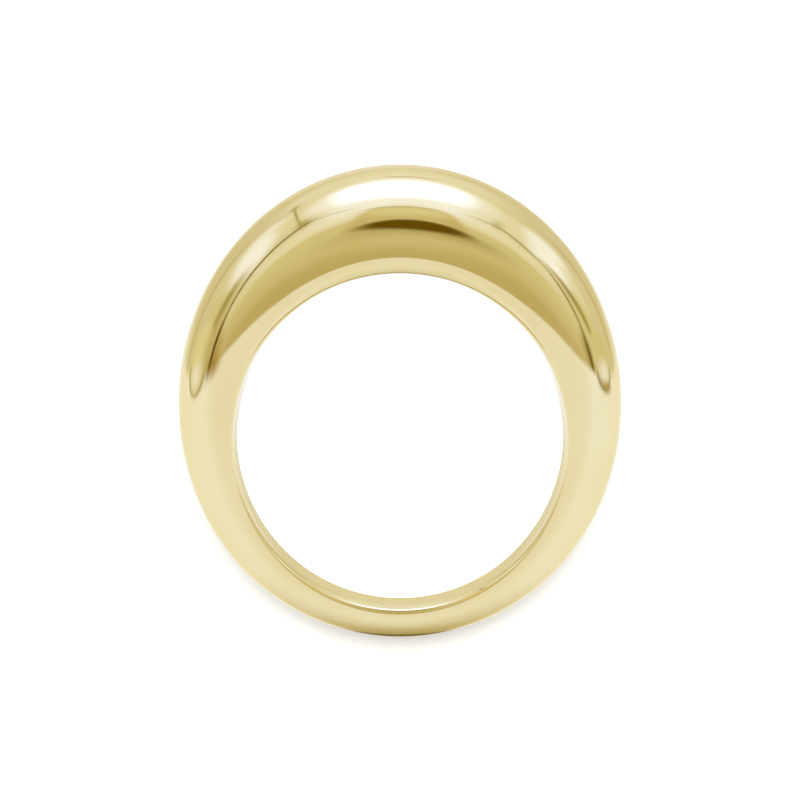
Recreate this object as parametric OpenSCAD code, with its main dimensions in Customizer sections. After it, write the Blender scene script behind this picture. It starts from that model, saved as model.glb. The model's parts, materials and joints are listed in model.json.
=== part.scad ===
// A plain domed finger ring: one piece of metal with a high rounded dome over
// the finger that runs down its shoulders into a slim shank.
// It lies on its side, as it rests on a table: the dome points along +Y,
// the back of the dome and the back of the shank touch the plane Z = 0.
// All sizes are in millimetres.

/* [Finger hole] */
// Diameter of the finger hole
hole_d = 17.35; // [15:0.05:21]

/* [Outline, looking through the hole] */
// Thickness of metal over the finger, in the middle of the dome
dome_t = 5.9; // [4:0.1:7]
// Thickness at the two sides, level with the centre of the hole
side_t = 2.93; // [2.5:0.01:3.5]
// Thickness under the finger, in the middle of the shank
shank_t = 1.86; // [1.4:0.01:2.4]
// How quickly the dome falls away down its shoulders
dome_fall = 2.8; // [2:0.1:4]

/* [Width along the finger] */
// Width of the dome at its widest
dome_w = 11; // [8:0.1:13]
// Width of the shank at its narrowest
shank_w = 4.9; // [4.2:0.1:6]
// How quickly the width narrows down the shoulders
width_fall = 1.3; // [1:0.1:2.5]

/* [Inner edges] */
// Height of the dome's widest line above the finger hole
dome_edge_h = 1; // [0.8:0.05:1.6]
// Height of that line at the two sides
side_edge_h = 0.1; // [0.08:0.01:0.3]
// Height of the shank's widest line above the finger hole
shank_edge_h = 0.35; // [0.25:0.01:0.6]
// Width of the bevel inside the dome
dome_bevel_w = 0.45; // [0.3:0.05:0.7]
// Width of the bevel at the two sides
side_bevel_w = 0.3; // [0.15:0.05:0.5]
// Width of the bevel inside the shank
shank_bevel_w = 0.65; // [0.3:0.05:0.7]
// How quickly these fall towards the sides
edge_fall = 4; // [2:0.5:6]
// How round the bevel is, from 0, straight, to 1, a quarter ellipse
bevel_round = 0.35; // [0:0.05:1]

/* [Comfort flare of the finger hole] */
// Width of the straight stretch inside the dome
dome_flat_w = 1.4; // [0.8:0.1:4]
// Width of the straight stretch inside the shank
shank_flat_w = 3.5; // [2:0.1:3.5]
// How far the hole has opened where it meets the dome's bevels
dome_flare = 0.4; // [0.1:0.05:0.5]
// How far it has opened where it meets the shank's bevels
shank_flare = 0.03; // [0.03:0.01:0.05]
// How quickly the flare falls down the shoulders
flare_fall = 2.4; // [2.2:0.1:6]

/* [Fineness] */
// Number of sections around the ring
sections = 90; // [60:6:120]
// Steps from a section's widest line over to its crown
crown_steps = 8; // [6:1:10]
// Steps from a section's widest line in over the bevel
bevel_steps = 4; // [3:1:8]

/* [Hidden] */

hole_r = hole_d / 2;
// The lofted body reaches this far into the hole, which then cuts it true
sink = 0.12;
// Where the flare starts it is already this far open, so that the cut is clean
flare_start = 0.02;
// What the sides have beyond the plain fall from the dome to the shank
side_swell = side_t - shank_t - (dome_t - shank_t) * pow(0.5, dome_fall);
// Halvings in the search for the resting tilt, and its steepest case
tilt_halvings = 24;
tilt_most = 40;

// A size that runs from its value on the shank to its value on the dome;
// a is the angle around the hole from the middle of the dome
function eased(shank, dome, fall, a) =
    shank + (dome - shank) * pow((1 + cos(a)) / 2, fall);

// A size with a value of its own at the sides too
function swung(shank, side, dome, fall, a) =
    side + (dome - side) * pow((1 + cos(a)) / 2, fall) + (shank - side) * pow((1 - cos(a)) / 2, fall);

// The shape of the section at angle a
function thickness(a) = eased(shank_t, dome_t, dome_fall, a) + side_swell * pow(sin(a), 2);
function half_width(a) = eased(shank_w, dome_w, width_fall, a) / 2;
function half_flat(a) = eased(shank_flat_w, dome_flat_w, width_fall, a) / 2;
function edge_h(a) = swung(shank_edge_h, side_edge_h, dome_edge_h, edge_fall, a);
function bevel_w(a) = swung(shank_bevel_w, side_bevel_w, dome_bevel_w, edge_fall, a);
function flare(a) = eased(shank_flare, dome_flare, flare_fall, a);

// A quarter circle pressed towards its chord, as [sine, cosine] of the angle q
function pressed(q) =
    let (s = sin(q), c = cos(q), k = bevel_round)
    [k * s + (1 - k) * (1 + s - c) / 2, k * c + (1 - k) * (1 - s + c) / 2];

// One side of a section as [height above the hole, place along the finger]:
// the straight stretch of the hole's wall, the bevel that ends its flare on the
// widest line, then a quarter ellipse over to the crown
function section_wall(a) = [
    [-sink, half_flat(a) - sink],
    [flare_start, half_flat(a)]
];
function section_bevel(a) = [
    for (i = [0 : bevel_steps])
        let (p = pressed(90 * (1 - i / bevel_steps)))
        [
            edge_h(a) - (edge_h(a) - flare(a)) * p[0],
            half_width(a) - bevel_w(a) * (1 - p[1])
        ]
];
function section_crown(a) = [
    for (i = [1 : crown_steps])
        let (q = 90 * i / crown_steps)
        [
            edge_h(a) + (thickness(a) - edge_h(a)) * sin(q),
            half_width(a) * cos(q)
        ]
];
function section_side(a) = concat(section_wall(a), section_bevel(a), section_crown(a));

// The whole section: the front side up to the crown and the same side back down
function section(a) =
    let (side = section_side(a), last = len(side) - 1)
    concat(side, [for (i = [last - 1 : -1 : 0]) [side[i][0], -side[i][1]]]);

// The section turned to its place around the hole, upright, dome up along +Y
function placed(a) = [
    for (p = section(a)) [(hole_r + p[0]) * sin(a), (hole_r + p[0]) * cos(a), p[1]]
];

around = len(section(0));
points = [for (k = [0 : sections - 1]) each placed(360 * k / sections)];
quads = [
    for (k = [0 : sections - 1], i = [0 : around - 1])
        let (here = k * around, next = ((k + 1) % sections) * around, j = (i + 1) % around)
        [here + i, here + j, next + j, next + i]
];
triangles = [for (q = quads) each [[q[0], q[1], q[2]], [q[0], q[2], q[3]]]];

// Height and place along Y of a point once the ring is tilted back by t
function height(p, t) = p[1] * sin(t) + p[2] * cos(t);
function along_y(p, t) = p[1] * cos(t) - p[2] * sin(t);

// The lowest point of the dome's half and of the shank's half
dome_points = [for (p = points) if (p[1] > 0) p];
shank_points = [for (p = points) if (p[1] < 0) p];
function lowest(list, t) = min([for (p = list) height(p, t)]);

// The tilt at which both halves touch the table together
function resting_tilt(low, high, n) =
    let (t = (low + high) / 2)
    n == 0 ? t
    : lowest(dome_points, t) < lowest(shank_points, t) ? resting_tilt(t, high, n - 1)
    : resting_tilt(low, t, n - 1);

tilt = resting_tilt(0, tilt_most, tilt_halvings);
floor_z = lowest(points, tilt);
y_places = [for (p = points) along_y(p, tilt)];
middle_y = (min(y_places) + max(y_places)) / 2;

// The upright ring, tilted back and set down on Z = 0, centred on the origin
module lying_down() {
    translate([0, -middle_y, -floor_z]) rotate([tilt, 0, 0]) children();
}

module ring() {
    color("khaki")
        lying_down()
            difference() {
                polyhedron(points = points, faces = triangles, convexity = 4);
                cylinder(h = 2 * dome_w, r = hole_r, center = true, $fn = 180);
            }
}

ring();
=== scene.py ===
# %% [markdown]
# A domed finger ring in polished yellow gold.
# The real ring is one piece of metal: a high round dome over the finger runs
# down its shoulders into a slim shank. It lies on its side, as it would by
# itself, and the camera looks down through the finger hole.
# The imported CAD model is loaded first, as a fixed frame. It says where the
# ring lies and how big it is, and everything else is built around it in
# metres, so nothing has to be fitted later.

# %% Load the frame
import json
import math
from collections import namedtuple

import bmesh
import bpy
from mathutils import Matrix, Vector


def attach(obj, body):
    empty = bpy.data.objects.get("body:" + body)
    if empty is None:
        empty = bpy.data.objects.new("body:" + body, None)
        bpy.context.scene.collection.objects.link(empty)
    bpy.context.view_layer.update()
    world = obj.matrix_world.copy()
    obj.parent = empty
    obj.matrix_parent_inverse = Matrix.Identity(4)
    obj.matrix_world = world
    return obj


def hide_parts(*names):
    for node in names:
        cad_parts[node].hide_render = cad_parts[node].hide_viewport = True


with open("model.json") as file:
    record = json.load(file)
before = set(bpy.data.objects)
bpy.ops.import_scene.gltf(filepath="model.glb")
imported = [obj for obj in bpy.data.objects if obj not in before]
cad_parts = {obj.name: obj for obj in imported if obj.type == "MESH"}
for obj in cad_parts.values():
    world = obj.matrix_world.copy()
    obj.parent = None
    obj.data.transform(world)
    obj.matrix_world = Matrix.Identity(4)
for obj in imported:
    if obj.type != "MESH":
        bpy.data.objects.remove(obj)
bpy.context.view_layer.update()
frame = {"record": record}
MM = 0.001

# %% [markdown]
# The finger hole is the one feature that everything on a ring is measured
# from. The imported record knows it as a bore, with a centre, an axis and a
# radius. Three directions follow from it: out through the hole towards the
# viewer, from the hole's centre towards the dome, and across to the right.

# %% The finger hole
hole = next(mount for mount in frame["record"]["mounts"] if mount["name"] == "finger_hole")
hole_centre = Vector(hole["pos_m"])
hole_radius = hole["dims"]["r_mm"] * MM
towards_viewer = Vector(hole["axis"]).normalized()
to_the_right = Vector((1, 0, 0))
towards_dome = towards_viewer.cross(to_the_right)
print("hole radius in mm:", round(hole_radius / MM, 3), "axis:", towards_viewer)

# %% [markdown]
# A jeweller describes such a ring by its cross-section, which changes on the
# way round. Its thickness, its width along the finger and the height of its
# widest line above the hole swell from the shank to the dome. Inside, the
# wall of the hole is straight only in the middle. From there it opens in a
# comfort flare, which lets a ring as wide as this slide over a knuckle, and a
# bevel ends it at the widest line. The bevel is narrowest at the two sides.
# Each size follows a cosine raised to a power, which has no corner anywhere.
# A polished surface shows the smallest corner as a kink in its reflections.

# %% Sizes of the section, on the shank and on the dome
SHANK_THICKNESS, SIDE_THICKNESS, DOME_THICKNESS = 1.86 * MM, 2.93 * MM, 5.9 * MM
SHANK_WIDTH, DOME_WIDTH = 4.9 * MM, 11 * MM
SHANK_FLAT, DOME_FLAT = 3.5 * MM, 1.4 * MM
SHANK_FLARE, DOME_FLARE = 0.03 * MM, 0.4 * MM
SHANK_EDGE, SIDE_EDGE, DOME_EDGE = 0.35 * MM, 0.1 * MM, 1 * MM
SHANK_BEVEL, SIDE_BEVEL, DOME_BEVEL = 0.65 * MM, 0.3 * MM, 0.45 * MM
THICKNESS_FALL, WIDTH_FALL, EDGE_FALL, FLARE_FALL = 2.8, 1.3, 4, 2.4
BEVEL_ROUND = 0.35


def eased(shank, dome, fall, angle):
    """A size at this angle from the middle of the dome."""
    return shank + (dome - shank) * ((1 + math.cos(angle)) / 2) ** fall


def swung(shank, side, dome, fall, angle):
    """The same with a size of its own at the two sides."""
    towards_shank = eased(1, 0, 1, angle) ** fall
    return eased(side, dome, fall, angle) + (shank - side) * towards_shank


def thickness(angle):
    plain_side = eased(SHANK_THICKNESS, DOME_THICKNESS, THICKNESS_FALL, math.pi / 2)
    swell = (SIDE_THICKNESS - plain_side) * math.sin(angle) ** 2
    return eased(SHANK_THICKNESS, DOME_THICKNESS, THICKNESS_FALL, angle) + swell


def half_width(angle):
    return eased(SHANK_WIDTH, DOME_WIDTH, WIDTH_FALL, angle) / 2


def half_flat(angle):
    return eased(SHANK_FLAT, DOME_FLAT, WIDTH_FALL, angle) / 2


def edge_height(angle):
    return swung(SHANK_EDGE, SIDE_EDGE, DOME_EDGE, EDGE_FALL, angle)


def bevel_width(angle):
    return swung(SHANK_BEVEL, SIDE_BEVEL, DOME_BEVEL, EDGE_FALL, angle)


def flare(angle):
    return eased(SHANK_FLARE, DOME_FLARE, FLARE_FALL, angle)


for name, angle in (("dome", 0), ("side", math.pi / 2), ("shank", math.pi)):
    print(name, "thickness and width in mm:",
          round(thickness(angle) / MM, 2), round(2 * half_width(angle) / MM, 2))

# %% [markdown]
# The camera looks down through the finger hole with a long lens, 275 mm from
# the hole's centre, five degrees from the hole's axis towards the dome. It is
# made before the ring, because the framing shows at once whether the sizes
# are right. It aims a little above the hole, so that the ring sits in the
# middle of the picture.

# %% The camera
CAMERA_DISTANCE = 275 * MM
CAMERA_RISE = math.radians(5)
AIM_ABOVE_HOLE = 2.07 * MM
LENS_MM = 233.3
SENSOR_MM = 36
NEAREST_SEEN, FURTHEST_SEEN = 10 * MM, 20

sight = math.cos(CAMERA_RISE) * towards_viewer + math.sin(CAMERA_RISE) * towards_dome
picture_up = to_the_right.cross(-sight)
camera_place = hole_centre + CAMERA_DISTANCE * sight
aim = hole_centre + AIM_ABOVE_HOLE * picture_up

bpy.ops.object.camera_add(location=camera_place)
camera = bpy.context.object
camera.name = "camera"
camera.rotation_euler = (aim - camera_place).to_track_quat("-Z", "Y").to_euler()
camera.data.lens = LENS_MM
camera.data.sensor_width = SENSOR_MM
camera.data.clip_start = NEAREST_SEEN
camera.data.clip_end = FURTHEST_SEEN
bpy.context.scene.camera = camera
print("camera at, in mm:", [round(x / MM, 1) for x in camera_place])

# %% [markdown]
# The ring could be a torus pushed into shape, but its section is no circle
# and changes all the way round, so it is lofted instead: one outline for each
# step around the hole, and a skin bridged over them all.
# Every outline starts as a copy of one circle of radius one. The two lower
# quarters of that circle become the bevels, which are flatter than a circle,
# so each is turned to point down, pressed towards its chord and turned back.
# Without a window a turn goes the other way, which the signs below allow for.
# A subdivided outline ends up just inside its corner points. Starting from a
# circle that is larger by the same share brings it back to the true size.

# %% The circle that every outline starts from
OUTLINE_POINTS = 40
TINY = 1e-6

point_step = 2 * math.pi / OUTLINE_POINTS
true_size = 3 / (2 + math.cos(point_step))


def pick(chosen):
    """Selects the vertices of the mesh in edit mode whose place is chosen."""
    mesh = bmesh.from_edit_mesh(bpy.context.object.data)
    for vertex in mesh.verts:
        vertex.select = chosen(vertex.co)
    mesh.select_flush_mode()
    bmesh.update_edit_mesh(bpy.context.object.data)


def turn(angle):
    bpy.ops.transform.rotate(value=angle, orient_axis="Z", center_override=(0, 0, 0))


def scale(across, upwards, centre=(0, 0, 0)):
    bpy.ops.transform.resize(value=(across, upwards, 1), center_override=centre)


bpy.ops.object.select_all(action="DESELECT")
bpy.ops.mesh.primitive_circle_add(vertices=OUTLINE_POINTS, radius=true_size)
circle = bpy.context.object
bpy.ops.object.mode_set(mode="EDIT")
# Half a step round, so that no point lies on the lines between the quarters
turn(point_step / 2)
chord = (0, -true_size * math.cos(math.pi / 4), 0)
for side in (-1, 1):
    pick(lambda place: place.y < -TINY and place.x * side > 0)
    turn(side * math.pi / 4)
    scale(1, BEVEL_ROUND, chord)
    turn(-side * math.pi / 4)
bpy.ops.object.mode_set(mode="OBJECT")
right_points = [vertex.co for vertex in circle.data.vertices if vertex.co.x > 0]
lowest = min(right_points, key=lambda place: place.y).copy()
print("points in the circle:", OUTLINE_POINTS)
print("its lowest one on the right:", [round(x, 3) for x in lowest])

# %% [markdown]
# For each outline the upper half of the circle is scaled to the crown, and
# the two bevels are scaled and pushed apart. The edge left between them is
# the wall of the hole. It is cut twice, and the two new points are set on the
# hole's radius where its straight stretch ends. More cuts then keep that
# stretch and the flare straight when the skin is subdivided.

# %% One outline of the section
OUTLINES = 96
FLARE_CUTS = 5


def add_outline(angle):
    """The section at this angle, flat on the XY plane, with the hole below it."""
    edge = edge_height(angle)
    wide = half_width(angle)
    bevel = bevel_width(angle)
    bevel_height = edge - flare(angle)
    wall_end = wide - bevel + bevel * lowest.x
    wall_level = bevel_height * lowest.y
    bpy.ops.object.select_all(action="DESELECT")
    circle.select_set(True)
    bpy.context.view_layer.objects.active = circle
    bpy.ops.object.duplicate()
    bpy.ops.object.mode_set(mode="EDIT")
    pick(lambda place: place.y > 0)
    scale(wide, thickness(angle) - edge)
    for side in (-1, 1):
        pick(lambda place: place.y < -TINY and place.x * side > 0)
        scale(bevel, bevel_height)
        bpy.ops.transform.translate(value=(side * (wide - bevel), 0, 0))
    pick(lambda place: place.y < 0 and abs(place.x) < wall_end + TINY)
    bpy.ops.mesh.subdivide(number_cuts=2)
    # The two new points are a third of the way out, and go to the ends of the straight stretch
    pick(lambda place: place.y < 0 and abs(place.x) < wall_end / 2)
    scale(3 * half_flat(angle) / wall_end, 1)
    bpy.ops.transform.translate(value=(0, -edge - wall_level, 0))
    bpy.ops.mesh.subdivide(number_cuts=1)
    for side in (-1, 1):
        pick(lambda place: place.y < 0 and TINY < place.x * side < wall_end + TINY)
        bpy.ops.mesh.subdivide(number_cuts=FLARE_CUTS)
    bpy.ops.object.mode_set(mode="OBJECT")
    return bpy.context.object


print("outlines to make:", OUTLINES)

# %% [markdown]
# Each outline is made lying flat and then stood up where it belongs: its own
# Y axis points away from the hole, and its X axis runs along the finger. A
# matrix whose columns are these directions says so in one step. Joining the
# outlines and applying their places leaves one mesh of open loops.

# %% All outlines, stood up around the hole
def set_up(outline, angle):
    outwards = math.sin(angle) * to_the_right + math.cos(angle) * towards_dome
    place = hole_centre + (hole_radius + edge_height(angle)) * outwards
    columns = (towards_viewer, outwards, towards_viewer.cross(outwards), place)
    rows = [[column[row] for column in columns] for row in range(3)]
    outline.matrix_world = Matrix(rows).to_4x4()


outlines = []
for number in range(OUTLINES):
    angle = 2 * math.pi * number / OUTLINES
    outlines.append(add_outline(angle))
    set_up(outlines[-1], angle)

bpy.data.objects.remove(circle)
bpy.ops.object.select_all(action="DESELECT")
for outline in outlines:
    outline.select_set(True)
bpy.context.view_layer.objects.active = outlines[0]
bpy.ops.object.join()
bpy.ops.object.transform_apply(location=True, rotation=True, scale=True)
ring = bpy.context.object
ring.name = "ring_body"
print("outlines joined:", len(ring.data.vertices), "points")

# %% [markdown]
# Bridging runs a row of faces from each outline to the next and closes the
# last on the first. The skin is all four-sided faces with no poles, so the
# subdivision that follows is smooth in every direction, which a mirror
# finish needs. Two levels give about 163,000 triangles.

# %% The skin
SUBDIVISIONS = 2

bpy.ops.object.mode_set(mode="EDIT")
bpy.ops.mesh.select_all(action="SELECT")
bpy.ops.mesh.bridge_edge_loops(type="CLOSED")
bpy.ops.mesh.normals_make_consistent(inside=False)
bpy.ops.object.mode_set(mode="OBJECT")
smooth_skin = ring.modifiers.new("smooth skin", "SUBSURF")
smooth_skin.levels = SUBDIVISIONS
smooth_skin.render_levels = SUBDIVISIONS
bpy.ops.object.modifier_apply(modifier=smooth_skin.name)
bpy.ops.object.shade_smooth()
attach(ring, "root")
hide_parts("ring")
print("faces of the ring:", len(ring.data.polygons))

# %% [markdown]
# The skin needs its finish next. Two materials and the studio light are all
# built from nodes, so five small helpers come first. They keep each step of a
# node tree to one line: link puts a number or another node's output on a
# socket, calculate adds a Math node, fade turns a value into a soft switch
# from 0 to 1, mix lays one colour over another, and rgba gives a colour the
# fourth value that its socket wants.

# %% Helpers for node trees
def link(tree, value, socket):
    """Puts a plain value on a socket, or links another node's output to it."""
    if isinstance(value, bpy.types.NodeSocket):
        tree.links.new(value, socket)
    else:
        socket.default_value = value


def calculate(tree, operation, *values):
    node = tree.nodes.new("ShaderNodeMath")
    node.operation = operation
    for socket, value in zip(node.inputs, values):
        link(tree, value, socket)
    return node.outputs["Value"]


def fade(tree, value, none, full):
    """0 where the value is at none, 1 where it is at full, eased in between."""
    node = tree.nodes.new("ShaderNodeMapRange")
    node.interpolation_type = "SMOOTHSTEP"
    link(tree, value, node.inputs["Value"])
    link(tree, none, node.inputs["From Min"])
    link(tree, full, node.inputs["From Max"])
    return node.outputs["Result"]


def mix(tree, share, under, over):
    node = tree.nodes.new("ShaderNodeMix")
    node.data_type = "RGBA"
    # This node has sockets of the same name for numbers, vectors and colours
    share_socket, under_socket, over_socket = node.inputs[0], node.inputs[6], node.inputs[7]
    mixed_colour = node.outputs[2]
    link(tree, share, share_socket)
    link(tree, under, under_socket)
    link(tree, over, over_socket)
    return mixed_colour


def rgba(colour):
    return (*colour, 1)


print("helpers:", ", ".join(helper.__name__ for helper in (link, calculate, fade, mix, rgba)))

# %% [markdown]
# Gold is a metal, so its colour is the colour of its reflections, and a
# pattern on it should hardly show. What tells real polished gold from a
# computed mirror is small: the alloy is a shade redder in one place than in
# the next, the buffing wheel leaves a faint haze, and the surface is never
# quite even, so that straight reflections waver.
# All patterns read Object coordinates. The piece sits at the origin, so these
# are its real places in metres, and a texture scale of 200 means features of
# a two-hundredth of a metre, which is 5 mm.

# %% Polished gold: colour
GOLD = (0.84, 0.73, 0.42)
REDDER_GOLD = (0.82, 0.70, 0.375)
EDGE_TINT = (0.95, 0.88, 0.66)
ALLOY_CLOUDS = 6 * MM

gold = bpy.data.materials.new("polished_gold")
gold.use_nodes = True
metal = gold.node_tree
shader = metal.nodes["Principled BSDF"]
shader.inputs["Metallic"].default_value = 1
# Metals turn white at grazing angles, and this alloy keeps some of its colour
shader.inputs["Specular Tint"].default_value = rgba(EDGE_TINT)
place = metal.nodes.new("ShaderNodeTexCoord").outputs["Object"]


def noise(tree, place, size, detail):
    """Soft clouds about this many metres across, as a value around 0.5."""
    node = tree.nodes.new("ShaderNodeTexNoise")
    link(tree, place, node.inputs["Vector"])
    node.inputs["Scale"].default_value = 1 / size
    node.inputs["Detail"].default_value = detail
    return node.outputs["Fac"]


alloy = fade(metal, noise(metal, place, ALLOY_CLOUDS, 2), 0.3, 0.7)
gold_colour = mix(metal, alloy, rgba(GOLD), rgba(REDDER_GOLD))
link(metal, gold_colour, shader.inputs["Base Color"])
ring.data.materials.append(gold)
print("material of the ring:", gold.name)

# %% [markdown]
# The wall of the hole isn't buffed like the outside: a felt stick turned in
# it leaves a satin finish with fine lines that run around. The stick only
# touches the straight stretch, so the satin fades out where the flare starts.
# The finish has to follow the hole, which leans in the row's frame, so a
# Mapping node first turns the coordinates until the hole's axis is Z and its
# centre the origin. The distance from that axis then tells the wall, the
# flare with its edge, and the outside apart.

# %% Polished gold: satin in the finger hole, wear on its edges
BORE_END = 0.03 * MM
EDGE_END = 0.5 * MM
POLISH, HAZE, SATIN, WORN = 0.045, 0.035, 0.17, 0.06
RUBBED_SPOTS, HAZE_CLOUDS = 2.5 * MM, 3 * MM

upright = towards_viewer.rotation_difference(Vector((0, 0, 1)))
set_upright = metal.nodes.new("ShaderNodeMapping")
set_upright.inputs["Rotation"].default_value = upright.to_euler()
set_upright.inputs["Location"].default_value = -(upright @ hole_centre)
link(metal, place, set_upright.inputs["Vector"])
upright_place = set_upright.outputs["Vector"]

flat_place = metal.nodes.new("ShaderNodeVectorMath")
flat_place.operation = "MULTIPLY"
link(metal, upright_place, flat_place.inputs[0])
flat_place.inputs[1].default_value = (1, 1, 0)
from_axis = metal.nodes.new("ShaderNodeVectorMath")
from_axis.operation = "LENGTH"
link(metal, flat_place.outputs["Vector"], from_axis.inputs[0])
radius = from_axis.outputs["Value"]

in_bore = fade(metal, radius, hole_radius + BORE_END, hole_radius)
near_edge = fade(metal, radius, hole_radius + EDGE_END, hole_radius + BORE_END)
rubbed = fade(metal, noise(metal, place, RUBBED_SPOTS, 4), 0.45, 0.7)
hazy = fade(metal, noise(metal, place, HAZE_CLOUDS, 5), 0.35, 0.75)

haze = calculate(metal, "MULTIPLY_ADD", hazy, HAZE, POLISH)
rubbed_edge = calculate(metal, "MULTIPLY", near_edge, rubbed)
worn = calculate(metal, "MULTIPLY_ADD", rubbed_edge, WORN, haze)
roughness = calculate(metal, "MULTIPLY_ADD", in_bore, SATIN, worn)
link(metal, roughness, shader.inputs["Roughness"])
print("roughness on the dome:", POLISH, "and in the hole about:", round(POLISH + SATIN + HAZE, 2))

# %% [markdown]
# The waver of the reflections could be real dents in the mesh, but they are
# thousandths of a millimetre deep, far below what the mesh resolves, so a
# Bump node is the right place for them. One height map adds up three things,
# each with its real depth in metres: the long waves that a hand-held buffing
# leaves, a finer ripple, and the turned lines inside the hole.

# %% Polished gold: the surface
LONG_WAVE, LONG_DEPTH = 4.5 * MM, 0.008 * MM
RIPPLE, RIPPLE_DEPTH = 1.2 * MM, 0.0008 * MM
LINE_STEP, LINE_DEPTH = 0.11 * MM, 0.0012 * MM
LINE_WAVER = 1.5

lines = metal.nodes.new("ShaderNodeTexWave")
lines.wave_type = "BANDS"
lines.bands_direction = "Z"
link(metal, upright_place, lines.inputs["Vector"])
# At scale 1 the bands of a wave texture are two pi twentieths of a unit apart
lines.inputs["Scale"].default_value = 2 * math.pi / (20 * LINE_STEP)
lines.inputs["Distortion"].default_value = LINE_WAVER
lines.inputs["Detail"].default_value = 2
lines.inputs["Detail Scale"].default_value = 0.2

height = calculate(metal, "MULTIPLY", noise(metal, place, LONG_WAVE, 0), LONG_DEPTH)
height = calculate(metal, "MULTIPLY_ADD", noise(metal, place, RIPPLE, 2), RIPPLE_DEPTH, height)
line_height = calculate(metal, "MULTIPLY", lines.outputs["Fac"], in_bore)
height = calculate(metal, "MULTIPLY_ADD", line_height, LINE_DEPTH, height)
bump = metal.nodes.new("ShaderNodeBump")
bump.inputs["Distance"].default_value = 1
link(metal, height, bump.inputs["Height"])
link(metal, bump.outputs["Normal"], shader.inputs["Normal"])
print("turned lines across the hole, inside the dome:", round(2 * half_flat(0) / LINE_STEP))

# %% [markdown]
# The ring lies on a plain pale table top. It is a plane six metres wide, so
# that its edges stay out of every view, of a matt off-white board whose tone
# drifts a little. It is hidden from the ring's reflections, because the
# studio below has a table of its own in them.

# %% The floor
FLOOR_SIZE = 6
BOARD, DARKER_BOARD = (0.92, 0.92, 0.915), (0.885, 0.885, 0.88)
BOARD_CLOUDS = 40 * MM
MATT, SHEEN = 0.9, 0.1

bpy.ops.object.select_all(action="DESELECT")
bpy.ops.mesh.primitive_plane_add(size=FLOOR_SIZE)
floor = bpy.context.object
floor.name = "floor"
floor.visible_glossy = False

board = bpy.data.materials.new("pale_board")
board.use_nodes = True
board_shader = board.node_tree.nodes["Principled BSDF"]
board_place = board.node_tree.nodes.new("ShaderNodeTexCoord").outputs["Object"]
drift = noise(board.node_tree, board_place, BOARD_CLOUDS, 3)
board_colour = mix(board.node_tree, drift, rgba(BOARD), rgba(DARKER_BOARD))
link(board.node_tree, board_colour, board_shader.inputs["Base Color"])
board_shader.inputs["Roughness"].default_value = MATT
board_shader.inputs["Specular IOR Level"].default_value = SHEEN
floor.data.materials.append(board)
print("floor:", FLOOR_SIZE, "m wide")

# %% [markdown]
# Polished metal shows nothing of itself, only its surroundings, so most of
# the ring's look is made here. Jewellery is lit inside a small tent of white
# cloth: light comes through the cloth, and the seams, the gap for the lens
# and the table's edge show in the metal as dark lines.
# The tent could be built from planes that glow. It is painted on the world
# instead, because then it is endlessly far away, and looks the same from all
# of the ring. The ray's direction is split along the ring's own three
# directions, and on each of six walls a place is given by two slopes: how
# far across and how far up the ray goes for each step towards that wall.

# %% The tent's six walls
studio = bpy.data.worlds.new("studio")
bpy.context.scene.world = studio
studio.use_nodes = True
tent = studio.node_tree
tent.nodes.clear()
direction = tent.nodes.new("ShaderNodeTexCoord").outputs["Generated"]


def share_along(axis):
    """How much of the ray's direction goes along this axis."""
    node = tent.nodes.new("ShaderNodeVectorMath")
    node.operation = "DOT_PRODUCT"
    link(tent, direction, node.inputs[0])
    node.inputs[1].default_value = axis
    return node.outputs["Value"]


def wall(side, towards, across, along):
    """The place where the ray meets a wall, with how straight it goes there as Z."""
    straight = calculate(tent, "MULTIPLY", towards, side)
    node = tent.nodes.new("ShaderNodeCombineXYZ")
    link(tent, calculate(tent, "DIVIDE", across, straight), node.inputs["X"])
    link(tent, calculate(tent, "DIVIDE", along, straight), node.inputs["Y"])
    link(tent, straight, node.inputs["Z"])
    return node.outputs["Vector"]


right = share_along(to_the_right)
up = share_along(towards_dome)
near = share_along(towards_viewer)
walls = {
    "front": wall(1, near, right, up),
    "back": wall(-1, near, right, up),
    "left": wall(-1, right, near, up),
    "right": wall(1, right, near, up),
    "top": wall(1, up, right, near),
    "floor": wall(-1, up, right, near),
}
print("walls of the tent:", ", ".join(walls))

# %% [markdown]
# Everything on the walls is one kind of thing: a patch of cloth, light or
# dark, with a place, a size, a turn, rounded corners and a soft rim. So it is
# one node group, used once for each patch. Its sockets take the place on the
# wall, the colour that is there already, and all that describes the patch.

# %% A patch of the tent as a node group
NUMBERS = ("Width", "Height", "Turn", "Taper", "Corner", "Soft", "Share")

patch_group = bpy.data.node_groups.new("patch", "ShaderNodeTree")
for name in ("Place", "Centre"):
    patch_group.interface.new_socket(name, in_out="INPUT", socket_type="NodeSocketVector")
for name in ("Under", "Colour"):
    patch_group.interface.new_socket(name, in_out="INPUT", socket_type="NodeSocketColor")
for name in NUMBERS:
    patch_group.interface.new_socket(name, in_out="INPUT", socket_type="NodeSocketFloat")
patch_group.interface.new_socket("Painted", in_out="OUTPUT", socket_type="NodeSocketColor")
given = patch_group.nodes.new("NodeGroupInput").outputs
result = patch_group.nodes.new("NodeGroupOutput").inputs
print("numbers that describe a patch:", ", ".join(NUMBERS))

# %% [markdown]
# Inside the group, the place is first moved and turned back until the patch
# is centred and upright. How far out it lies, across and up, then becomes one
# number that is 1 on the outline, and a fade around 1 makes the soft rim. The
# outline is a superellipse: a corner value of 2 gives an oval, 4 a rounded
# rectangle and 6 one with tighter corners. A taper widens the patch towards
# its top. Two slopes alone can't tell a wall from the one across the tent, so
# the third value of the place has the last word.

# %% The outline of a patch
SMALLEST = 0.02
JUST_TOWARDS = 0.0001


def work_out(operation, *values):
    return calculate(patch_group, operation, *values)


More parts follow.
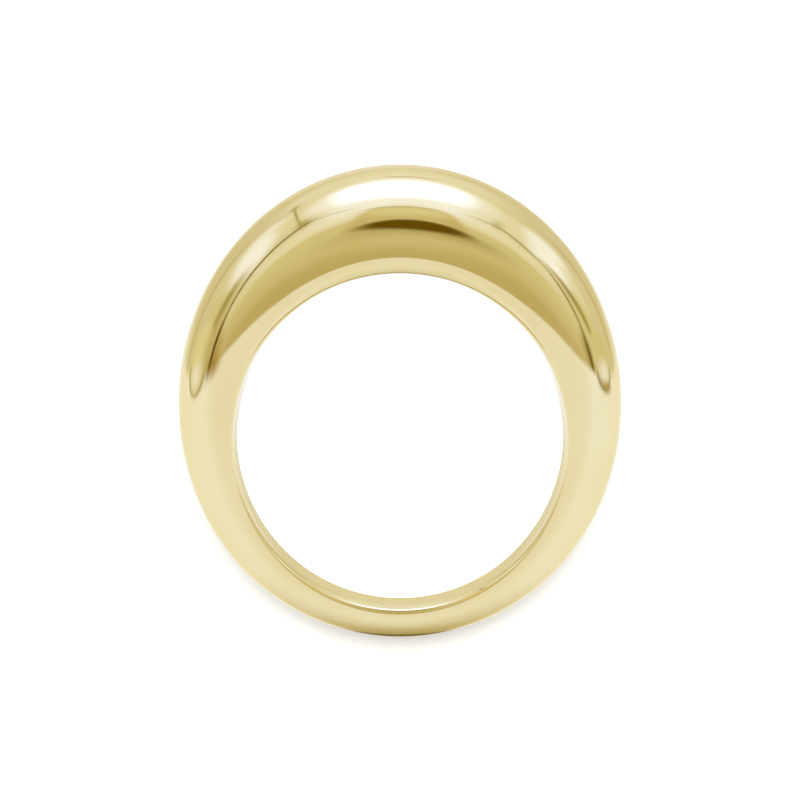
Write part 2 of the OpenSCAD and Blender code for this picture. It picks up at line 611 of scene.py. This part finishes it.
offset = patch_group.nodes.new("ShaderNodeVectorMath")
offset.operation = "SUBTRACT"
link(patch_group, given["Place"], offset.inputs[0])
link(patch_group, given["Centre"], offset.inputs[1])
turned_back = patch_group.nodes.new("ShaderNodeVectorRotate")
turned_back.rotation_type = "Z_AXIS"
turn_back = work_out("MULTIPLY", given["Turn"], -math.pi / 180)
link(patch_group, offset.outputs["Vector"], turned_back.inputs["Vector"])
link(patch_group, turn_back, turned_back.inputs["Angle"])
own = patch_group.nodes.new("ShaderNodeSeparateXYZ")
link(patch_group, turned_back.outputs["Vector"], own.inputs["Vector"])

rise = work_out("DIVIDE", own.outputs["Y"], work_out("MULTIPLY", given["Height"], 0.5))
widening = work_out("MAXIMUM", work_out("MULTIPLY_ADD", rise, given["Taper"], 1), SMALLEST)
half_across = work_out("MULTIPLY", work_out("MULTIPLY", given["Width"], 0.5), widening)
reach = work_out("DIVIDE", own.outputs["X"], half_across)
across_part = work_out("POWER", work_out("ABSOLUTE", reach), given["Corner"])
up_part = work_out("POWER", work_out("ABSOLUTE", rise), given["Corner"])
both_parts = work_out("ADD", across_part, up_part)
outwards = work_out("POWER", both_parts, work_out("DIVIDE", 1, given["Corner"]))
rim_out = work_out("ADD", 1, given["Soft"])
rim_in = work_out("SUBTRACT", 1, given["Soft"])
inside = fade(patch_group, outwards, rim_out, rim_in)
this_wall = work_out("GREATER_THAN", own.outputs["Z"], JUST_TOWARDS)
cover = work_out("MULTIPLY", work_out("MULTIPLY", inside, this_wall), given["Share"])
link(patch_group, mix(patch_group, cover, given["Under"], given["Colour"]), result["Painted"])
print("nodes in a patch:", len(patch_group.nodes))

# %% [markdown]
# The colours are those of lit cloth. A value over 1 is brighter than white
# paper. Gold takes most of the blue away from what it reflects, so a patch
# that should come out white has to be rich in blue.

# %% The colours of the tent
SHADE = (0.70, 0.63, 0.38)
DEEP_SHADE = (0.58, 0.50, 0.25)
TAN = (0.77, 0.73, 0.49)
GREY_TAN = (0.80, 0.79, 0.74)
LIGHT_TAN = (0.86, 0.84, 0.62)
PALE = (0.93, 0.95, 0.90)
WHITE_CLOTH = (0.94, 0.99, 1.05)
CREAM = (1.12, 1.20, 1.65)
BRIGHT = (1.6, 1.9, 3.2)
STRAW = (0.62, 0.54, 0.30)
OLIVE = (0.42, 0.36, 0.12)
BROWN = (0.42, 0.28, 0.04)
SEAM = (0.20, 0.14, 0.03)
DARK = (0.15, 0.09, 0.004)
print("the brightest lamp:", BRIGHT, "and the darkest gap:", DARK)

# %% [markdown]
# A table with named columns says what hangs where. It is read from top to
# bottom, each patch over the ones before it, so the big soft tones of the
# cloth come first and the lamps behind it next. A lamp behind cloth has no
# sharp edge, so it is a stack of patches, each smaller and brighter than the
# one below.
# The table can't grow for ever, because a shader only holds so many values at
# once: with 77 patches this one still works, and with 81 the whole ring comes
# out black. So each patch has to earn its place.

# %% The cloth, and the lamps behind it
Patch = namedtuple(
    "Patch", "wall across along width height colour share soft turn corner taper",
    defaults=(1, 0.5, 0, 4, 0))

CLOTH = (
    # The front wall, around the lens, is in shade near the table
    Patch("front", 0, 0.3, 20, 1.1, SHADE, share=0.8, soft=0.9, corner=2),
    Patch("front", -0.2, 0.05, 6, 0.5, DEEP_SHADE, share=0.8, soft=0.9, corner=2),
    Patch("front", -0.7, 0.2, 1.1, 0.4, DEEP_SHADE, share=0.5, soft=0.9, corner=2),
    Patch("front", 0.8, 0.25, 1.0, 0.4, DEEP_SHADE, share=0.5, soft=0.9, corner=2),
    # The back wall is a pale card, with shade in its two corners
    Patch("back", 0, 0.6, 4, 1.4, GREY_TAN, share=0.8, soft=0.6),
    Patch("back", -1.0, 0.35, 0.2, 0.8, STRAW, share=0.6, soft=0.7, corner=3),
    Patch("back", 0.87, 0.35, 0.18, 0.8, STRAW, share=0.6, soft=0.7, corner=3),
    Patch("back", 0, 0, 1.2, 0.24, CREAM, share=0.8, soft=0.9, corner=2),
    Patch("back", -0.06, 0.3, 0.4, 0.6, CREAM, share=0.5, soft=0.9, corner=2),
    Patch("back", 0, 0.08, 0.4, 0.3, LIGHT_TAN, share=0.9, soft=0.4, corner=2),
    # Pale streaks in the front corners, and one across the front of the ceiling
    Patch("left", 0.45, 1.0, 0.22, 1.4, PALE, share=0.8, soft=0.9, turn=-20, corner=2),
    Patch("right", 0.36, 1.1, 0.25, 1.4, PALE, share=0.8, soft=0.9, turn=-20, corner=2),
    Patch("top", 0, 0.34, 3.4, 0.34, PALE, share=0.9, soft=0.6),
)
LAMPS = (
    # Behind the ceiling, from its wide glow in to its bright core
    Patch("top", -0.05, -0.9, 1.4, 1.3, WHITE_CLOTH, share=0.9, soft=0.5),
    Patch("top", 0, -0.35, 1.35, 1.1, LIGHT_TAN, share=0.8, soft=0.3),
    Patch("top", 0.6, -0.2, 0.5, 0.7, PALE, soft=0.6),
    Patch("top", 0.02, -0.25, 1.15, 0.92, PALE, soft=0.3),
    Patch("top", 0, -0.74, 0.7, 0.5, CREAM, share=0.5, soft=0.9, corner=2),
    Patch("top", 0, 0.2, 1.2, 0.44, CREAM, share=0.7, soft=0.8, corner=2),
    Patch("top", -0.5, -0.28, 0.3, 0.4, CREAM, share=0.7, soft=0.8, corner=2),
    Patch("top", 0.54, -0.32, 0.3, 0.5, CREAM, share=0.5, soft=0.8, corner=2),
    Patch("top", 0.02, -0.2, 0.9, 0.9, CREAM, soft=0.3, corner=5),
    Patch("top", 0.02, -0.3, 0.78, 0.55, BRIGHT, soft=0.35),
    # Behind the side walls
    Patch("left", -0.4, 0.95, 0.8, 0.9, PALE, share=0.8, soft=0.6, corner=3),
    Patch("left", -0.34, 0.79, 0.76, 0.5, CREAM, soft=0.5, turn=-20, corner=2),
    Patch("left", -0.75, 1.05, 0.3, 0.5, CREAM, share=0.6, soft=0.8, corner=2),
    Patch("right", -0.38, 0.95, 0.85, 0.9, PALE, share=0.8, soft=0.6, corner=3),
    Patch("right", -0.37, 0.8, 0.78, 0.52, CREAM, soft=0.45, turn=-15, corner=3),
    Patch("right", -0.2, 1.2, 0.5, 0.5, PALE, share=0.7, soft=0.9, corner=2),
)
print("patches of cloth:", len(CLOTH), "and of lamps:", len(LAMPS))

# %% [markdown]
# Dark things are what tells the eye that metal is polished. A tent has only
# a few: folds in its cloth, a flap in its ceiling, the gap for the lens, and
# the seams. In the ring they turn into the crescent in the middle of the dome
# and the thin lines down its shoulders, which follow the ring's shape far
# more truly than a line drawn on it would.

# %% Gaps and seams
GAPS = (
    # Folds below the side lamps
    Patch("left", -0.1, 0.35, 0.17, 0.44, OLIVE, share=0.9, soft=0.8, corner=3),
    Patch("right", -0.45, 0.5, 0.2, 0.3, PALE, share=0.8, soft=0.8, corner=2),
    Patch("right", -0.05, 0.66, 0.12, 0.3, TAN, share=0.7, soft=0.8, turn=-30, corner=2),
    Patch("right", -0.15, 0.39, 0.13, 0.46, OLIVE, share=0.9, soft=0.6, turn=-20, corner=3),
    # The flap in the front of the ceiling, with a dark hem
    Patch("top", 0.06, 0.62, 0.9, 0.7, SHADE, soft=0.12, corner=6, taper=0.35),
    Patch("top", 0.42, 0.62, 0.2, 0.6, DEEP_SHADE, share=0.2, soft=0.8, turn=-20, corner=2),
    Patch("top", 0.04, 0.37, 0.56, 0.26, LIGHT_TAN, share=0.9, soft=0.7, corner=2),
    Patch("top", 0.02, 0.265, 0.5, 0.035, OLIVE, share=0.5),
    # The gap for the lens
    Patch("front", 0.3, 1.02, 1.3, 0.5, OLIVE, share=0.7, soft=0.9, turn=5, corner=2),
    Patch("front", 0.14, 1.22, 1.1, 0.6, DARK, soft=0.3, turn=-3, corner=2),
)
SEAMS = (
    # Down the side walls, darkest at the table
    Patch("left", 0.095, 0.9, 0.04, 1.4, SEAM, share=0.8, turn=3.5),
    Patch("left", 0.1, 0.78, 0.04, 0.44, DARK, share=0.9, turn=3.5),
    Patch("left", 0.115, 0.42, 0.05, 0.5, SEAM, share=0.7, turn=3.5),
    Patch("left", 0.22, 0.07, 0.26, 0.2, BROWN, share=0.7, soft=0.9, corner=2),
    Patch("left", 0.0, 1.47, 0.3, 0.26, OLIVE, share=0.7, soft=0.9, corner=2),
    Patch("right", 0.04, 0.35, 0.14, 0.6, STRAW, share=0.5, soft=0.8, corner=2),
    Patch("right", 0.08, 1.1, 0.05, 0.6, OLIVE, share=0.7, turn=3),
    Patch("right", 0.045, 0.4, 0.035, 0.5, SEAM, share=0.9),
    Patch("right", 0.1, 0.08, 0.26, 0.22, OLIVE, share=0.8, soft=0.8, corner=2),
    Patch("right", 0.075, 0.08, 0.1, 0.24, SEAM, soft=0.7, corner=2),
    Patch("right", 0.02, 1.42, 0.4, 0.2, OLIVE, share=0.4, soft=0.9, corner=2),
    # Across the ceiling
    Patch("top", -1.15, 0.12, 1.0, 0.045, SEAM, share=0.9, turn=-8),
    Patch("top", -0.48, 0.11, 0.36, 0.03, OLIVE, share=0.4, soft=0.6, turn=14, corner=3),
    Patch("top", 1.15, 0.075, 0.9, 0.045, SEAM, share=0.5),
    Patch("top", 0.6, 0.12, 0.3, 0.05, OLIVE, share=0.4, soft=0.6, turn=-15, corner=3),
    Patch("top", -0.7, -0.36, 0.022, 0.84, OLIVE, share=0.9, turn=2),
    Patch("top", -0.69, -0.8, 0.08, 0.16, OLIVE, share=0.7, soft=0.8, corner=2),
    Patch("top", 0.06, -0.79, 0.3, 0.06, STRAW, share=0.8, turn=-3, corner=3),
)
print("patches of folds and gaps:", len(GAPS), "and of seams:", len(SEAMS))

# %% [markdown]
# The tent stands on a table, which the ring's face and underside mirror. The
# ring shades it, and where the table meets the side walls its edge shows as
# the small bright loop at the end of each shoulder.

# %% The table inside the tent
TABLE_TOP = (1.03, 1.08, 1.24)
TABLE_NEAR_LENS = (0.95, 0.95, 0.95)
TABLE = (
    # In front of the ring, and the strip that shows behind it
    Patch("front", 0, -0.2, 6, 1.2, TABLE_NEAR_LENS, soft=0.9, corner=2),
    Patch("back", 0, -0.02, 0.4, 0.17, TAN, share=0.8, soft=0.5, corner=2),
    Patch("back", 0, -0.17, 0.2, 0.1, CREAM, soft=0.2),
    # The ring's own shade
    Patch("floor", 0, 0.4, 1.1, 1.6, LIGHT_TAN, share=0.4, soft=0.8, corner=2),
    Patch("floor", 0, -1.0, 1.1, 2.0, STRAW, share=0.7, soft=0.7, corner=2),
    Patch("floor", 0, -1.0, 0.5, 1.4, OLIVE, share=0.5, soft=0.7, corner=2),
    Patch("floor", 0, -2.4, 0.4, 2.4, DARK, share=0.9, soft=0.4, corner=2),
)
TABLE_EDGE = (
    # On the left wall, with the foot of the seam
    Patch("left", -0.33, 0.01, 0.74, 0.19, OLIVE, share=0.9, soft=0.12, turn=-2, corner=2),
    Patch("left", -0.33, 0.1, 0.69, 0.34, LIGHT_TAN, soft=0.12, turn=-2, corner=2),
    Patch("left", -0.33, 0.01, 0.42, 0.1, CREAM, share=0.5, soft=0.9, corner=2),
    Patch("left", 0, 0.15, 0.36, 0.3, STRAW, share=0.9, soft=0.9, corner=2),
    Patch("left", 0.28, 0, 0.42, 0.1, BROWN, share=0.85, soft=0.9, turn=-8, corner=2),
    Patch("left", 0.142, 0.135, 0.085, 0.29, DARK, soft=0.6, turn=3, corner=3),
    # On the right wall
    Patch("right", -0.37, 0.01, 0.7, 0.13, SEAM, share=0.7, soft=0.12, turn=-2, corner=2),
    Patch("right", -0.37, 0.095, 0.65, 0.27, TAN, soft=0.12, turn=-2, corner=2),
    Patch("right", -0.4, 0.03, 0.42, 0.09, CREAM, share=0.7, soft=0.9, corner=2),
    Patch("right", -0.38, -0.04, 0.5, 0.05, BROWN, share=0.7, soft=0.8, corner=2),
)
print("patches of the table:", len(TABLE), "and of its edge:", len(TABLE_EDGE))

# %% [markdown]
# Painting the tent is one pass over all these rows. The cloth and what shows
# in it are painted above the horizon, and the tent's table below it. The
# table's edge lies across the horizon, so it is painted last, over both.

# %% Painting the tent
HORIZON, HORIZON_SOFT = 0.005, 0.025


def paint(under, patches):
    """Lays the patches over a colour, each on its own wall."""
    for patch in patches:
        node = tent.nodes.new("ShaderNodeGroup")
        node.node_tree = patch_group
        link(tent, under, node.inputs["Under"])
        link(tent, walls[patch.wall], node.inputs["Place"])
        link(tent, (patch.across, patch.along, 0), node.inputs["Centre"])
        link(tent, rgba(patch.colour), node.inputs["Colour"])
        for name in NUMBERS:
            link(tent, getattr(patch, name.lower()), node.inputs[name])
        under = node.outputs["Painted"]
    return under


above = paint(rgba(TAN), CLOTH + LAMPS + GAPS + SEAMS)
below = paint(rgba(TABLE_TOP), TABLE)
over_horizon = fade(tent, up, HORIZON - HORIZON_SOFT, HORIZON + HORIZON_SOFT)
tent_colour = paint(mix(tent, over_horizon, below, above), TABLE_EDGE)
print("nodes in the studio:", len(tent.nodes))

# %% [markdown]
# Only reflections need to see the tent. The camera sees plain white past the
# floor, and the matt floor gets an even glow, which is quicker to render and
# free of noise. A Light Path node tells these rays apart.

# %% What sees the tent
GLOW_ON_FLOOR = 0.35
WHITE = (1, 1, 1)

seen = tent.nodes.new("ShaderNodeBackground")
link(tent, tent_colour, seen.inputs["Color"])
plain_white = tent.nodes.new("ShaderNodeBackground")
plain_white.inputs["Color"].default_value = rgba(WHITE)
ray = tent.nodes.new("ShaderNodeLightPath").outputs
glow = calculate(tent, "MAXIMUM", ray["Is Camera Ray"], GLOW_ON_FLOOR)
link(tent, glow, plain_white.inputs["Strength"])
chosen = tent.nodes.new("ShaderNodeMixShader")
link(tent, ray["Is Glossy Ray"], chosen.inputs["Fac"])
link(tent, plain_white.outputs["Background"], chosen.inputs[1])
link(tent, seen.outputs["Background"], chosen.inputs[2])
world_output = tent.nodes.new("ShaderNodeOutputWorld")
link(tent, chosen.outputs["Shader"], world_output.inputs["Surface"])
bpy.context.scene.view_settings.view_transform = "Standard"
print("nodes in the studio with its output:", len(tent.nodes))

# %% [markdown]
# Two lamps light the floor. The main one is like a cloudy sky, so wide that
# its shadow is only a breath under the ring. It leans towards the dome, and
# the shadow falls below the shank. A narrow one shines from the camera's place
# down the finger hole, where the tall dome keeps the main light out. From
# there no shadow of its own can be seen.
# Neither shows in the metal: the ring's highlights are the tent's.

# %% Lamps
SKY_WIDTH = math.radians(70)
SKY_LEAN = math.radians(16)
SKY_STRENGTH = 5.2
BEAM_RADIUS = 9.4 * MM
BEAM_POWER = 4.5
BEAM_SOFT_RIM = 0.05
BEAM_LAMP_SIZE = 1 * MM

lean = math.cos(SKY_LEAN) * Vector((0, 0, 1)) + math.sin(SKY_LEAN) * Vector((0, 1, 0))
bpy.ops.object.light_add(type="SUN", rotation=lean.to_track_quat("Z", "Y").to_euler())
sky = bpy.context.object
sky.name = "cloudy_sky"
sky.data.angle = SKY_WIDTH
sky.data.energy = SKY_STRENGTH
sky.visible_glossy = False

down_the_hole = sight.to_track_quat("Z", "Y").to_euler()
bpy.ops.object.light_add(type="SPOT", location=camera_place, rotation=down_the_hole)
beam = bpy.context.object
beam.name = "beam_through_hole"
beam.data.spot_size = 2 * math.atan(BEAM_RADIUS / CAMERA_DISTANCE)
beam.data.spot_blend = BEAM_SOFT_RIM
beam.data.shadow_soft_size = BEAM_LAMP_SIZE
beam.data.energy = BEAM_POWER
beam.visible_glossy = False
print("lamps:", sky.name, "and", beam.name)
